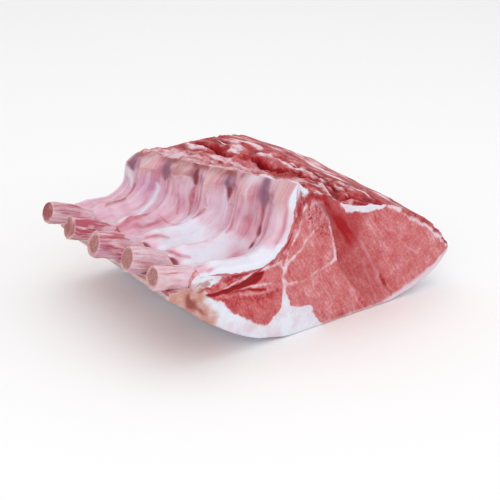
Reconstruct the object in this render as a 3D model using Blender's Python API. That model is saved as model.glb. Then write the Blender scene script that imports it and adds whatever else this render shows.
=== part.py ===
"""Raw frenched rack of pork: five rib bones bedded in the meat of the loin.

It lies on its fat, with the hollow of the chest upwards. X runs from the rib tips to the
back, Y along the spine from the near cut face to the far one, and Z up from the table.
Run it with: blender --background --python part.py
"""
import math

import bmesh
import bpy
import numpy as np

MM = 0.001

# ---- Driving dimensions, in millimetres ----
NEAR_Y = -70.0  # the cut face at the shoulder end
FAR_Y = 70.0  # the cut face at the loin end
TOUCHING_GAP = 0.3  # left between two pieces that lie against each other
ORIGIN_X = 31.0  # the origin lies here in the outlines below: on the table, under the middle

RIB_PITCH = 28.0
FIRST_RIB_Y = -62.0
RIB_TIP_X = (-69.0, -65.5, -68.0, -65.5, -62.5)  # sawn ends, from the near rib to the far one
RIB_THICKNESS = (12.6, 14.0, 14.2, 13.0, 12.4)
RIB_COUNT = len(RIB_TIP_X)
RIB_WIDTH = 11.0
RIB_TIP_Z = 53.0
RIB_PROUD = 0.9  # how far a rib stands out of the meat, under the lining
RIB_HEAD_THICKNESS = 7.0  # a rib is thinner where it meets the spine
HEAD_PROUD_LOSS = 0.6  # share by which it stands out less there
RIB_ARCH = 0.6  # the bared end bows upwards by this much
BED_SPARE = 0.05  # a rib's bed is wider than the rib by the touching gap and this
BED_OVERSHOOT = 4.0  # and its cutter runs on past the sawn tip

LINING_THICKNESS = 2.5
LINING_RISE = 1.4  # the lining rises a little more over each rib
LIP_ROLL = 1.0  # and along the lip, where it is pushed back into a roll
RIB_SWELL = 4.4  # the meat is as much higher along a rib than between two
RIM_HEIGHT = 1.6  # the two cut edges of the hollow stand up
RIM_REACH = 12.0

FAT_SKIN = 2.2  # fat left over the loin after trimming

STEP_DEPTH = 7.0  # the loin eye lies this far behind the rib side of the near face
STEP_WIDTH = 3.5
STEP_RECOVERY = 24.0  # over which the loin eye comes forward again
STEP_FULL_HEIGHT = 24.0  # below this height the step runs out
STEP_REACH = 20.0  # length of the rack that follows the step

CREVICE_DEPTH = 6.0  # where the meat has parted from the strip of gristle by the ribs
CREVICE_WIDTH = 0.42  # in outline points
CREVICE_END_Y = 62.0
CREVICE_FADE = 20.0  # length over which it runs out at that end
CREVICE_WAVE = 9.0  # it gets deeper and shallower along the rack, as a cosine of y over this
CREVICE_WAVE_SHARE = 0.4
LOIN_SWELL = 2.8  # the loin is fuller half way along
LOIN_SWELL_WIDTH = 1.4  # in outline points

# ---- The cross-section, as (x, z) in millimetres at the near and the far cut face ----
# Both outlines have the same anatomical points, so that a place on one matches the other.
# The upper side runs from the flap under the bared bones up to the lip, down the hollow of
# the chest, up its wall to the ridge of the rib heads, and down over the loin to the back.
UPPER_NEAR = (
    (-63.5, 45.5), (-50, 42.5), (-45.5, 47), (-27, 43), (-9, 41.5), (4, 45), (13, 53), (18, 64),
    (19.5, 75.5), (17.5, 85.5), (26, 80), (38, 72.5), (60, 64), (74, 61.5), (90, 57), (112, 44), (132, 27),
)
UPPER_FAR = (
    (-43, 39), (-37, 38.5), (-33, 42.5), (-23, 40.5), (-10, 40.5), (0.5, 45), (6, 51), (8.5, 57.5),
    (9.5, 63.5), (10.5, 68.5), (18, 68.8), (34, 67.4), (50, 68), (64, 67.8), (78, 66), (98, 59), (119, 33),
)
# The lower side is the trimmed outside of the rack, flat where it lies on the table.
LOWER_NEAR = (
    (-64, 41), (-56, 35), (-47, 27.5), (-32, 16.5), (-18, 8.5), (-3, 3), (11, 0.5), (25, 0), (39, 0),
    (52, 0), (64, 0), (76, 0), (88, 0.5), (98, 2.5), (108, 5), (120, 9.5), (131, 17),
)
LOWER_FAR = (
    (-43.5, 34), (-40, 30), (-35, 25), (-26, 17), (-16, 10.5), (-5, 4.5), (8, 1), (20, 0), (32, 0),
    (44, 0), (55, 0), (66, 0), (77, 1), (87, 3), (97, 6), (108, 10.5), (118, 20),
)
# Outline points with a name: the lip of the hollow, the rib's two ends, the ridge, and so on.
LIP, RIB_HEAD, RIDGE, CREVICE, LOIN_CREST, BACK = 2, 8, 9, 12, 14, 16
RIB_THINS = 6.0  # from this outline point on, a rib gets thinner towards its head
# Share of the thickness, from the upper side, at which the fat begins.
FAT_STARTS = (
    (0, 0.5), (2, 0.56), (3, 0.57), (4, 0.74), (5, 0.69), (5.5, 0.43), (6, 0.59), (7, 0.77), (8, 0.96),
)
# The step in the near face, as x at each height z.
STEP_LINE = ((-1, 75), (4, 71), (12, 63), (18, 57), (26, 51), (34, 46), (42, 45), (59, 40), (74, 34))

# ---- Mesh fineness ----
ACROSS_STEPS = 2 * BACK  # two for each outline point
STEPS_PER_PITCH = 4
DEPTH_STEPS = 8
FAT_STEPS = 2
RIB_SIDES = 12
RIB_RINGS = 15
RIB_LINE_POINTS = RIB_HEAD - LIP + 3
SLOPE_STEP = 0.02  # in outline points, to measure the direction of an outline
SHARP_ANGLE = math.radians(40)

# ---- Finishes, as (red, green, blue) and roughness ----
LEAN = ((0.50, 0.16, 0.16), 0.4)
FAT = ((0.78, 0.72, 0.72), 0.45)
BONE = ((0.62, 0.36, 0.36), 0.5)
MEMBRANE = ((0.72, 0.50, 0.58), 0.35)


def curve(points, at):
    """A smooth Catmull-Rom curve through the points; at is counted in points."""
    points = np.asarray(points, float)
    last = len(points) - 1
    padded = np.vstack([2 * points[0] - points[1], points, 2 * points[-1] - points[-2]])
    at = np.clip(np.asarray(at, float), 0, last)
    start = np.minimum(at.astype(int), last - 1)
    u = (at - start)[..., None]
    a, b, c, d = (padded[start + i] for i in range(4))
    return 0.5 * (2 * b + (c - a) * u + (2 * a - 5 * b + 4 * c - d) * u**2 + (3 * b - a - 3 * c + d) * u**3)


def smooth(value):
    """0 below 0, 1 above 1, and an S-shaped rise between."""
    value = np.clip(value, 0, 1)
    return value * value * (3 - 2 * value)


def along(y):
    """0 at the near cut face and 1 at the far one."""
    return ((y - NEAR_Y) / (FAR_Y - NEAR_Y))[..., None]


def between(near, far, at, y):
    """The outline at length y, between the near cut face's and the far one's."""
    return curve(near, at) * (1 - along(y)) + curve(far, at) * along(y)


def lower(at, y):
    """The lower side's (x, z) at outline point at and length y, no lower than the table."""
    return np.maximum(between(LOWER_NEAR, LOWER_FAR, at, y), (-math.inf, 0))


def outward(at, y):
    """Unit vector square to the upper side, out of the meat."""
    ahead = between(UPPER_NEAR, UPPER_FAR, at + SLOPE_STEP, y)
    run = ahead - between(UPPER_NEAR, UPPER_FAR, np.maximum(at - SLOPE_STEP, 0), y)
    run /= np.linalg.norm(run, axis=-1, keepdims=True)
    return np.stack([-run[..., 1], run[..., 0]], -1)


def rib_wave(y):
    """1 over the middle of each rib and 0 half way between two."""
    return 0.5 + 0.5 * np.cos(2 * math.pi * (y - FIRST_RIB_Y) / RIB_PITCH)


def relief(at, y):
    """Height of the upper side over its outline: ribs and rims in the hollow, then the loin's."""
    rim = smooth(1 - (y - NEAR_Y) / RIM_REACH) + smooth(1 - (FAR_Y - y) / RIM_REACH)
    inside = smooth(at - LIP + 1) * smooth(RIDGE - at)
    swell = np.exp(-(((at - LOIN_CREST) / LOIN_SWELL_WIDTH) ** 2)) * (1 - (y / FAR_Y) ** 2)
    crevice = np.exp(-(((at - CREVICE) / CREVICE_WIDTH) ** 2)) * smooth((CREVICE_END_Y - y) / CREVICE_FADE)
    crevice *= 1 - CREVICE_WAVE_SHARE * (1 - np.cos(y / CREVICE_WAVE))
    hollow = (RIB_SWELL * rib_wave(y) + RIM_HEIGHT * rim) * inside
    return hollow + LOIN_SWELL * swell - CREVICE_DEPTH * crevice


def upper(at, y):
    """The upper side's (x, z) at outline point at and length y."""
    return between(UPPER_NEAR, UPPER_FAR, at, y) + outward(at, y) * relief(at, y)[..., None]


def near_face_depth(x, z):
    """How far the near face lies behind its flat: the loin eye is set back along a step."""
    heights, places = zip(*STEP_LINE)
    past = x - np.interp(z, heights, places)
    depth = STEP_DEPTH * smooth(z / STEP_FULL_HEIGHT)
    return depth * smooth(past / STEP_WIDTH) * np.exp(-((np.maximum(past, 0) / STEP_RECOVERY) ** 2))


def place(section, y):
    """A section's (x, z) at length y as points in metres, with the near face's step."""
    depth = near_face_depth(section[..., 0], section[..., 1])
    close_to_near = np.clip(1 - (y - NEAR_Y) / STEP_REACH, 0, 1)
    return np.stack([section[..., 0] - ORIGIN_X, y + depth * close_to_near, section[..., 1]], -1) * MM


def body(at, share, y):
    """A point inside the rack: share is 0 on the upper side and 1 on the lower one."""
    return place(upper(at, y) * (1 - share[..., None]) + lower(at, y) * share[..., None], y)


def fat_start(at, y):
    """Share of the thickness at which the fat begins, thick by the belly and then a thin skin,
    and the thickness in millimetres."""
    knots, shares = zip(*FAT_STARTS)
    height = np.linalg.norm(upper(at, y) - lower(at, y), axis=-1)
    skin = 1 - FAT_SKIN / height
    return np.where(at < knots[-1], np.minimum(np.interp(at, knots, shares), skin), skin), height


def link(name, mesh, finish):
    """Puts a mesh in the scene under its name, with its own material."""
    colour, roughness = finish
    surface = bpy.data.materials.new(name)
    surface.use_nodes = True
    shader = surface.node_tree.nodes["Principled BSDF"]
    shader.inputs["Base Color"].default_value = (*colour, 1)
    shader.inputs["Roughness"].default_value = roughness
    shader.inputs["Metallic"].default_value = 0
    mesh.materials.append(surface)
    made = bpy.data.objects.new(name, mesh)
    bpy.context.scene.collection.objects.link(made)
    return made


def block(name, solid, across, depths, lengths, finish):
    """A closed block: solid(at, share, y) gives its points on a grid in all three directions."""
    grid = bmesh.new()
    corners = {}
    counts = (len(across), len(depths), len(lengths))

    def vertex(*index):
        if index not in corners:
            chosen = (values[i] for values, i in zip((across, depths, lengths), index))
            corners[index] = grid.verts.new(solid(*(np.array(value, float) for value in chosen)))
        return corners[index]

    for fixed in range(3):
        first, second = (axis for axis in range(3) if axis != fixed)
        for end in (0, counts[fixed] - 1):
            for i in range(counts[first] - 1):
                for j in range(counts[second] - 1):
                    ring = []
                    for di, dj in ((0, 0), (1, 0), (1, 1), (0, 1)):
                        index = [0, 0, 0]
                        index[fixed], index[first], index[second] = end, i + di, j + dj
                        ring.append(vertex(*index))
                    grid.faces.new(ring)
    bmesh.ops.recalc_face_normals(grid, faces=grid.faces)
    mesh = bpy.data.meshes.new(name)
    grid.to_mesh(mesh)
    grid.free()
    mesh.shade_smooth()
    mesh.set_sharp_from_angle(angle=SHARP_ANGLE)
    return link(name, mesh, finish)


def rib_line(rib, y):
    """The rib's middle line as (x, z), from its head under the ridge to its sawn tip."""
    at = np.linspace(RIB_HEAD, LIP, RIB_LINE_POINTS)
    lengths = np.full_like(at, y)
    toward_head = smooth((at - RIB_THINS) / (RIB_HEAD - RIB_THINS))
    thickness = RIB_THICKNESS[rib] * (1 - toward_head) + RIB_HEAD_THICKNESS * toward_head
    proud = RIB_PROUD * (1 - HEAD_PROUD_LOSS * toward_head)
    buried = upper(at, lengths) - outward(at, lengths) * (thickness / 2 - proud)[:, None]
    tip = np.array([RIB_TIP_X[rib], RIB_TIP_Z])
    bend = (buried[-1] + tip) / 2 + (0, RIB_ARCH)
    return np.vstack([buried, bend, tip]), np.append(thickness, [RIB_THICKNESS[rib]] * 2)


def rib_bone(rib, spare=0.0, overshoot=0.0):
    """The mesh of a rib: rings round its middle line, bridged and capped. spare widens it and
    overshoot lengthens it at the tip, for a cutter."""
    y = FIRST_RIB_Y + RIB_PITCH * rib
    line, thickness = rib_line(rib, y)
    if overshoot:
        way = line[-1] - line[-2]
        line[-1] += way / np.linalg.norm(way) * overshoot
    at = np.linspace(0, len(line) - 1, RIB_RINGS)
    middles = curve(line, at)
    heights = np.interp(at, np.arange(len(line)), thickness) / 2 + spare
    run = np.gradient(middles, axis=0)
    run /= np.linalg.norm(run, axis=1, keepdims=True)
    across = np.stack([-run[:, 1], run[:, 0]], 1)
    bone = bmesh.new()
    rings = []
    for middle, side, height in zip(middles, across, heights):
        ring = []
        for step in range(RIB_SIDES):
            angle = 2 * math.pi * step / RIB_SIDES
            x, z = middle + side * math.cos(angle) * height
            out = math.sin(angle) * (RIB_WIDTH / 2 + spare)
            ring.append(bone.verts.new(((x - ORIGIN_X) * MM, (y + out) * MM, z * MM)))
        rings.append([bone.edges.new((ring[i], ring[i - 1])) for i in range(RIB_SIDES)])
    for one, other in zip(rings, rings[1:]):
        bmesh.ops.bridge_loops(bone, edges=one + other)
    bmesh.ops.holes_fill(bone, edges=rings[0] + rings[-1], sides=RIB_SIDES)
    bmesh.ops.recalc_face_normals(bone, faces=bone.faces)
    mesh = bpy.data.meshes.new(f"rib_bone_{rib + 1}")
    bone.to_mesh(mesh)
    bone.free()
    mesh.shade_smooth()
    mesh.set_sharp_from_angle(angle=SHARP_ANGLE)
    return mesh


def lining_point(at, share, y):
    """A point in the lining: share is 0 on the side of the ribs and 1 on the open side."""
    rise = LINING_RISE + LIP_ROLL * smooth(LIP + 1 - at)
    off = TOUCHING_GAP + rise * rib_wave(y) ** 2 + LINING_THICKNESS * share
    return place(upper(at, y) + outward(at, y) * off[..., None], y)


def cut_rib_beds(target, cutters):
    """Takes the beds of all the ribs out of a solid."""
    bed = target.modifiers.new("rib beds", "BOOLEAN")
    bed.operation = "DIFFERENCE"
    bed.solver = "EXACT"
    bed.operand_type = "COLLECTION"
    bed.collection = cutters


def main():
    for old in list(bpy.data.objects):
        bpy.data.objects.remove(old)

    across = np.linspace(0, BACK, ACROSS_STEPS + 1)
    length_step = RIB_PITCH / STEPS_PER_PITCH
    inner = np.arange(FIRST_RIB_Y, FAR_Y - length_step / 2, length_step)
    lengths = np.concatenate([[NEAR_Y], inner, [FAR_Y]])

    def meat_point(at, share, y):
        start, height = fat_start(at, y)
        return body(at, share * (start - TOUCHING_GAP / 2 / height), y)

    def fat_point(at, share, y):
        start, height = fat_start(at, y)
        start = start + TOUCHING_GAP / 2 / height
        return body(at, start + (1 - start) * share, y)

    meat = block("loin_meat", meat_point, across, np.linspace(0, 1, DEPTH_STEPS + 1), lengths, LEAN)
    fat = block("fat_cap", fat_point, across, np.linspace(0, 1, FAT_STEPS + 1), lengths, FAT)

    cutters = bpy.data.collections.new("rib bed cutters")
    bpy.context.scene.collection.children.link(cutters)
    for rib in range(RIB_COUNT):
        bed = rib_bone(rib, spare=TOUCHING_GAP + BED_SPARE, overshoot=BED_OVERSHOOT)
        cutter = bpy.data.objects.new(f"rib bed {rib + 1}", bed)
        cutter.hide_render = True
        cutter.display_type = "WIRE"
        cutters.objects.link(cutter)
    for target in (meat, fat):
        cut_rib_beds(target, cutters)

    for rib in range(RIB_COUNT):
        link(f"rib_bone_{rib + 1}", rib_bone(rib), BONE)

    in_hollow = across[(across >= LIP) & (across <= RIDGE)]
    block("chest_lining", lining_point, in_hollow, (0, 1), lengths, MEMBRANE)


main()
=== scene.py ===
# %% [markdown]
# # A raw frenched rack of pork
# Five rib bones lie bedded in the meat of a pork loin. The rack rests on its fat with the
# hollow of the chest upwards, and the rib tips are scraped bare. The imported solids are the
# fixed frame: each one is replaced below by a finer surface that keeps its place and size.

# %% Load the frame
import itertools
import math

import bpy
import numpy as np
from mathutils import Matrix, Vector


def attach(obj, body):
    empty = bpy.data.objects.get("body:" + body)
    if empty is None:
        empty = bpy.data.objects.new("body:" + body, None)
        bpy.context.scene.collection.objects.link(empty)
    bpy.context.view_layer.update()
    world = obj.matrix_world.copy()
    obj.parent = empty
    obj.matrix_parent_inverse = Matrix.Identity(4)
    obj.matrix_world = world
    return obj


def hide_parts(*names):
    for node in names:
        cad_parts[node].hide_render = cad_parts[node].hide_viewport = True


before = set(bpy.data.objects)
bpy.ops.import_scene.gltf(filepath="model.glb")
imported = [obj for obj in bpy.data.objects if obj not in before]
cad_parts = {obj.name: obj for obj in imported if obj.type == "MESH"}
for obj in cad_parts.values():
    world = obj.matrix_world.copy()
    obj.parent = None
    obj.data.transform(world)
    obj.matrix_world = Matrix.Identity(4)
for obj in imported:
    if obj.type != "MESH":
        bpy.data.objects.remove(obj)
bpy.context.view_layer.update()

MM = 0.001
print("solids:", sorted(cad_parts))

# %% [markdown]
# ## The cross-section
# A rack is one cross-section carried along the spine. The upper outline runs from the flap
# under the bared bones to the lip of the hollow, down into it, up its wall to the ridge of the
# rib heads, and over the loin to the back. The lower outline is the trimmed outside. Both have
# the same anatomical points at the two cut faces, so a muscle keeps its place along the rack.

# %% Outlines and main sizes
NEAR_Y, FAR_Y = -70.0, 70.0  # the two cut faces
ORIGIN_X = 31.0  # the origin lies here in the outlines
RIB_PITCH, FIRST_RIB_Y = 28.0, -62.0
UPPER_NEAR = (
    (-63.5, 45.5), (-50, 42.5), (-45.5, 47), (-27, 43), (-9, 41.5), (4, 45), (13, 53), (18, 64),
    (19.5, 75.5), (17.5, 85.5), (26, 80), (38, 72.5), (60, 64), (74, 61.5), (90, 57), (112, 44),
    (132, 27),
)
UPPER_FAR = (
    (-43, 39), (-37, 38.5), (-33, 42.5), (-23, 40.5), (-10, 40.5), (0.5, 45), (6, 51), (8.5, 57.5),
    (9.5, 63.5), (10.5, 68.5), (18, 68.8), (34, 67.4), (50, 68), (64, 67.8), (78, 66), (98, 59),
    (119, 33),
)
LOWER_NEAR = (
    (-64, 41), (-56, 35), (-47, 27.5), (-32, 16.5), (-18, 8.5), (-3, 3), (11, 0.5), (25, 0), (39, 0),
    (52, 0), (64, 0), (76, 0), (88, 0.5), (98, 2.5), (108, 5), (120, 9.5), (131, 17),
)
LOWER_FAR = (
    (-43.5, 34), (-40, 30), (-35, 25), (-26, 17), (-16, 10.5), (-5, 4.5), (8, 1), (20, 0), (32, 0),
    (44, 0), (55, 0), (66, 0), (77, 1), (87, 3), (97, 6), (108, 10.5), (118, 20),
)
LIP, RIB_HEAD, RIDGE, CREVICE, LOIN_CREST, BACK = 2, 8, 9, 12, 14, 16
FAT_STARTS = (
    (0, 0.5), (2, 0.56), (3, 0.57), (4, 0.74), (5, 0.69), (5.5, 0.43), (6, 0.59), (7, 0.77), (8, 0.96),
)
STEP_LINE = ((-1, 75), (4, 71), (12, 63), (18, 57), (26, 51), (34, 46), (42, 45), (59, 40), (74, 34))
print(f"the rack is {FAR_Y - NEAR_Y:.0f} mm long")


# %% Curves and easing
def curve(points, at):
    """Catmull-Rom through the points: each stretch is the cubic that leaves a point in the
    direction from its neighbour before to its neighbour after. at is counted in points."""
    points = np.asarray(points, float)
    last = len(points) - 1
    padded = np.vstack([2 * points[0] - points[1], points, 2 * points[-1] - points[-2]])
    at = np.clip(np.asarray(at, float), 0, last)
    start = np.minimum(at.astype(int), last - 1)
    u = (at - start)[..., None]
    a, b, c, d = (padded[start + i] for i in range(4))
    return 0.5 * (2 * b + (c - a) * u + (2 * a - 5 * b + 4 * c - d) * u**2 + (3 * b - a - 3 * c + d) * u**3)


def smooth(value):
    """0 below 0, 1 above 1, and 3v² - 2v³ between."""
    value = np.clip(value, 0, 1)
    return value * value * (3 - 2 * value)


def hump(value):
    """A bell of height 1 and width about 1 on each side: e to the power of minus v squared."""
    return np.exp(-np.square(value))


def mix(first, second, share):
    """A straight mix of two sets of (x, z): the first at share 0, the second at share 1."""
    return first * (1 - share[..., None]) + second * share[..., None]


def between(near, far, at, y):
    """The outline at length y: a straight mix of the near face's and the far one's."""
    return mix(curve(near, at), curve(far, at), (y - NEAR_Y) / (FAR_Y - NEAR_Y))


# %% [markdown]
# ## Unevenness that is the same on every run
# Meat has no straight line in it. Blender's own noise lives in materials, so the shapes use a
# noise worked out here: random values on the corners of a lattice, blended smoothly between.
# The random value is a hash of the corner's whole-number place, so nothing needs a seed file.


# %% Lattice noise
def corner_values(corners, seed):
    """A repeatable value from 0 to 1 for each whole-number corner, by mixing its bits."""
    x, y, z = (corners[..., i] & 0xFFFFFFFF for i in range(3))
    bits = (x * 0x8DA6B343 ^ y * 0xD8163841 ^ z * 0xCB1AB31F ^ (seed * 0x9E3779B1)) & 0xFFFFFFFF
    bits = ((bits ^ (bits >> 15)) * 0x2C1B3C6D) & 0xFFFFFFFF
    bits = ((bits ^ (bits >> 12)) * 0x297A2D39) & 0xFFFFFFFF
    return (bits ^ (bits >> 15)) / 0xFFFFFFFF


def noise(points, size, seed=0, layers=1):
    """Smooth noise from about -1 to 1. Each layer blends the eight corners round a point by its
    smoothed place in the cell; a layer has half the cell size and half the height of the last."""
    total, height = 0.0, 1.0
    for layer in range(layers):
        place = points * (2**layer / np.asarray(size, float))
        base = np.floor(place).astype(np.int64)
        inside = smooth(place - base)
        for corner in itertools.product((0, 1), repeat=3):
            weight = np.prod(np.where(corner, inside, 1 - inside), axis=-1)
            total = total + height * weight * (2 * corner_values(base + corner, seed + layer) - 1)
        height /= 2
    return total


sample = noise(np.random.default_rng(1).uniform(-50, 50, (2000, 3)), 5.0)
print(f"noise runs from {sample.min():.2f} to {sample.max():.2f}")

# %% [markdown]
# ## The form of the rack
# The ribs lift the floor and the wall of the hollow, the meat has parted from the gristle in a
# row of crevices, and the near face has a step where the loin eye has drawn back. On top of
# these main forms, which the solids have too, come the small ones: the lumps of the ridge, the
# lengthwise fibres of the back, and cut edges that are rounded and not sharp.


# %% Marks drawn on a surface
FAR_OFF = 99.0  # mm, further than any mark reaches
NO_MARK = -3.0  # margin in mm of a place that is well outside a mark


def nearest(across, along, start, end):
    """Share of the straight line from start to end at its point nearest to (across, along),
    and the distance in mm to that point."""
    (x0, z0), (x1, z1) = start, end
    dx, dz = x1 - x0, z1 - z0
    share = np.clip(((across - x0) * dx + (along - z0) * dz) / (dx * dx + dz * dz), 0, 1)
    return share, np.hypot(across - x0 - share * dx, along - z0 - share * dz)


def stroke(across, along, line, detail=4):
    """Margin in mm inside a tapered stroke through (across, along, width) points, negative
    outside: half the width at the nearest place of the line, less the distance to it."""
    line = curve(line, np.linspace(0, len(line) - 1, (len(line) - 1) * detail + 1))
    margin = np.full(np.shape(across), -FAR_OFF)
    for start, end in zip(line, line[1:]):
        share, gap = nearest(across, along, start[:2], end[:2])
        margin = np.maximum(margin, (start[2] + share * (end[2] - start[2])) / 2 - gap)
    return margin


def strokes(across, along, lines):
    """The largest margin of several strokes."""
    return np.maximum.reduce([stroke(across, along, line) for line in lines])


def patch(across, along, outline):
    """Distance in mm inside a closed outline, negative outside. A place is inside if a ray from
    it crosses the outline an odd number of times."""
    inside = np.zeros(np.shape(across), bool)
    gap = np.full(np.shape(across), FAR_OFF)
    for (x0, z0), (x1, z1) in zip(outline, outline[1:] + outline[:1]):
        gap = np.minimum(gap, nearest(across, along, (x0, z0), (x1, z1))[1])
        crossing = x0 + (along - z0) * (x1 - x0) / ((z1 - z0) or 1)
        inside ^= ((z0 > along) != (z1 > along)) & (across < crossing)
    return np.where(inside, gap, -gap)


fine = np.linspace(0, BACK, 1601)
middle_outline = between(UPPER_NEAR, UPPER_FAR, fine, np.zeros_like(fine))
reach = np.append(0, np.cumsum(np.linalg.norm(np.diff(middle_outline, axis=0), axis=1)))


def span(at):
    """Length in mm along the upper outline, half way down the rack, from its start to at."""
    return np.interp(at, fine, reach)


def flat(u, y):
    """Places for noise on the unrolled upper side: length along the outline, then along the rack."""
    return np.stack([u, y, 0 * y], -1)


def along_rack(section, y):
    """Points (x, y, z) from the (x, z) of a section and its length along the rack."""
    return np.stack([section[..., 0], y, section[..., 1]], -1)


def on_top(*points):
    """(outline point, y, width) marks as (length along the outline, y, width)."""
    return tuple((float(span(at)), *rest) for at, *rest in points)


print(f"the upper outline is {reach[-1]:.0f} mm long")

# %% Crevices and main relief
CREVICES = (
    on_top((11.9, 63, 1), (11.95, 58, 3.5), (12.1, 50, 5.5), (11.8, 41, 5), (11.55, 33, 3),
           (11.7, 28, 1)),
    on_top((12.3, 25, 1), (12.4, 20, 3), (12.3, 13, 3.5), (12.35, 6, 3), (12.45, -3, 3), (12.5, -8, 1)),
    on_top((12.5, -10, 2), (12.55, -13, 5), (12.6, -17, 2)),
    on_top((12.3, -20, 1), (12.45, -25, 3.5), (12.7, -30, 6.5), (12.75, -35, 5), (12.6, -40, 3.5),
           (12.65, -44, 1)), on_top((12.6, -52, 0.6), (12.65, -57, 2.2), (12.8, -62, 1)),
)


def rib_wave(y):
    """1 over the middle of each rib and 0 half way between two: a raised cosine."""
    return 0.5 + 0.5 * np.cos(2 * math.pi * (y - FIRST_RIB_Y) / RIB_PITCH)


def relief(at, y):
    """Height of the upper side over its outline, as in the solids: the ribs' waves and the
    hollow's rims, the loin's swell, and the crevice beside the gristle."""
    rim = smooth(1 - (y - NEAR_Y) / 12.0) + smooth(1 - (FAR_Y - y) / 12.0)
    in_hollow = smooth(at - LIP + 1) * smooth(RIDGE - at)
    swell = hump((at - LOIN_CREST) / 1.4) * (1 - (y / FAR_Y) ** 2)
    crevice = hump((at - CREVICE) / 0.42) * (0.6 + 0.4 * np.cos(y / 9.0))
    crevice *= smooth((62.0 - y) / 20.0)
    return (4.4 * rib_wave(y) + 1.6 * rim) * in_hollow + 2.8 * swell - 6.0 * crevice


def crack_margin(at, y):
    """Margin in mm inside the open crevices, whose edges wander."""
    place = flat(span(at), y)
    margin = strokes(place[..., 0] + 1.6 * noise(place, 4.5, 13, 3), y, CREVICES)
    return margin + 0.4 + 1.1 * noise(place, 5.0, 20, 2)


def torn(at, y):
    """Lumps of torn meat and fat, from about -1 in the gaps to 1 on the tops."""
    return noise(flat(span(at), y), (6.5, 9.0, 9.0), 16, 3)


def gristle_end(y):
    """Outline point at which the pale strip of gristle ends: sooner near the far end."""
    return np.interp(y, (-70, -45, 5, 18, 32, 50, 70), (11.6, 12.1, 12.25, 12.1, 11.5, 11.1, 11.0))


def torn_zone(at, y):
    """1 where the meat was pulled off the backbone, beside the crevices, and 0 elsewhere."""
    return smooth((at - gristle_end(y)) / 0.4 + 0.5) * smooth((13.7 - at) / 0.8)


def small_relief(at, y):
    """What the solids leave out, in mm: lumps on the gristle, opened crevices with raised
    edges, torn lumps beside them, lengthwise fibres on the back, and the web of meat that
    fills the dips between the bared bones."""
    place = flat(span(at), y)
    gristle = smooth((at - 9.0) / 0.3) * smooth((gristle_end(y) - at) / 0.5)
    loin = smooth((at - 12.6) / 0.8)
    lumps = (1.5 * noise(place, 6.5, 11, 3) + 0.5 * noise(place, 2.6, 17, 2)) * gristle
    lumps += 1.0 * noise(place, (7.0, 7.5, 9.0), 12, 2) * hump((at - RIDGE - 0.15) / 0.4)
    dome = 2.2 * hump((span(at) - span(10.9)) / 8.0) * hump((y - 37) / 9.0)
    filled = 2.6 * hump((at - CREVICE) / 0.42) * smooth((62.0 - y) / 20.0)
    crack = crack_margin(at, y)
    cracks = 0.7 * hump(crack / 2.2 + 1.1) - 5.0 * smooth((crack + 0.4) / 1.8)
    top = torn(at, y)
    gaps = hump(noise(place, (6.0, 10.0, 9.0), 19, 2) / 0.09)
    tears = (1.7 * top - 1.3 * gaps) * torn_zone(at, y) * smooth((72 - y) / 26)
    fibres = 0.7 * noise(place, (2.8, 26.0, 9.0), 14, 3) * loin
    slow = 0.5 * noise(place, 16.0, 15, 2) * smooth((at - 8.5) / 1.0)
    fuller = 1.8 * hump((at - 14.3) / 1.2) * hump((y - 28) / 24)
    web = 2.6 * hump((at - 1.0) / 0.55) + 0.5 * noise(place, 5.0, 18, 2) * smooth((2.4 - at) / 0.5)
    return lumps + dome + filled + cracks + tears + fibres + slow + fuller + web


def outward(at, y):
    """Unit vector square to the upper side, out of the meat: the outline's direction turned."""
    small = 0.02
    ahead = between(UPPER_NEAR, UPPER_FAR, at + small, y)
    run = ahead - between(UPPER_NEAR, UPPER_FAR, np.maximum(at - small, 0), y)
    run /= np.linalg.norm(run, axis=-1, keepdims=True)
    return np.stack([-run[..., 1], run[..., 0]], -1)


# %% Upper and lower side, faces and edges
CUT_ROUNDING = 1.4  # radius in mm of the edge where a cut face meets a side


def edge_drop(y):
    """How far a side sinks beside a cut face: a quarter circle of the rounding's radius."""
    gap = np.minimum(y - NEAR_Y, FAR_Y - y)
    part = np.clip(1 - gap / CUT_ROUNDING, 0, 1)
    return CUT_ROUNDING * (1 - np.sqrt(1 - part**2))


def upper(at, y, fine_detail=True):
    """The upper side's (x, z): the outline, moved along its normal by the relief."""
    covered = smooth((at - 1.6) / 0.4) * smooth((9.2 - at) / 0.3)
    height = relief(at, y) - edge_drop(y) * (1 - covered)
    if fine_detail:
        height = height + small_relief(at, y)
    return between(UPPER_NEAR, UPPER_FAR, at, y) + outward(at, y) * height[..., None]


def lower(at, y):
    """The lower side's (x, z), a little uneven, and never under the table."""
    section = between(LOWER_NEAR, LOWER_FAR, at, y)
    place = along_rack(section, y)
    lift = edge_drop(y) * 0.8 + 0.35 * (1 + noise(place, 14.0, 21, 2)) * smooth(section[..., 1] / 3)
    return np.maximum(section + np.stack([0 * lift, lift], -1), (-math.inf, 0))


STEP_DEPTH, STEP_REACH = 7.0, 20.0  # mm set back at the near face, and mm until that has faded


def step_depth(section, y):
    """How far the meat is set back past the step's line, at the height of each point. It is
    deepest just past the line and fades out behind the near face."""
    x, z = section[..., 0], section[..., 1]
    past = x - np.interp(z, *zip(*STEP_LINE))
    depth = STEP_DEPTH * smooth(z / 24.0) * smooth(past / 3.5) * np.exp(-((np.maximum(past, 0) / 24.0) ** 2))
    return depth * np.clip(1 - (y - NEAR_Y) / STEP_REACH, 0, 1)


FAT_SKIN = 2.2  # mm of fat left over the loin


def fat_start(at, y):
    """Share of the thickness at which the fat begins: thick by the belly, then a thin skin."""
    knots, shares = zip(*FAT_STARTS)
    skin = 1 - FAT_SKIN / np.linalg.norm(upper(at, y, False) - lower(at, y), axis=-1)
    return np.where(at < knots[-1], np.minimum(np.interp(at, knots, shares), skin), skin)


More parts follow.
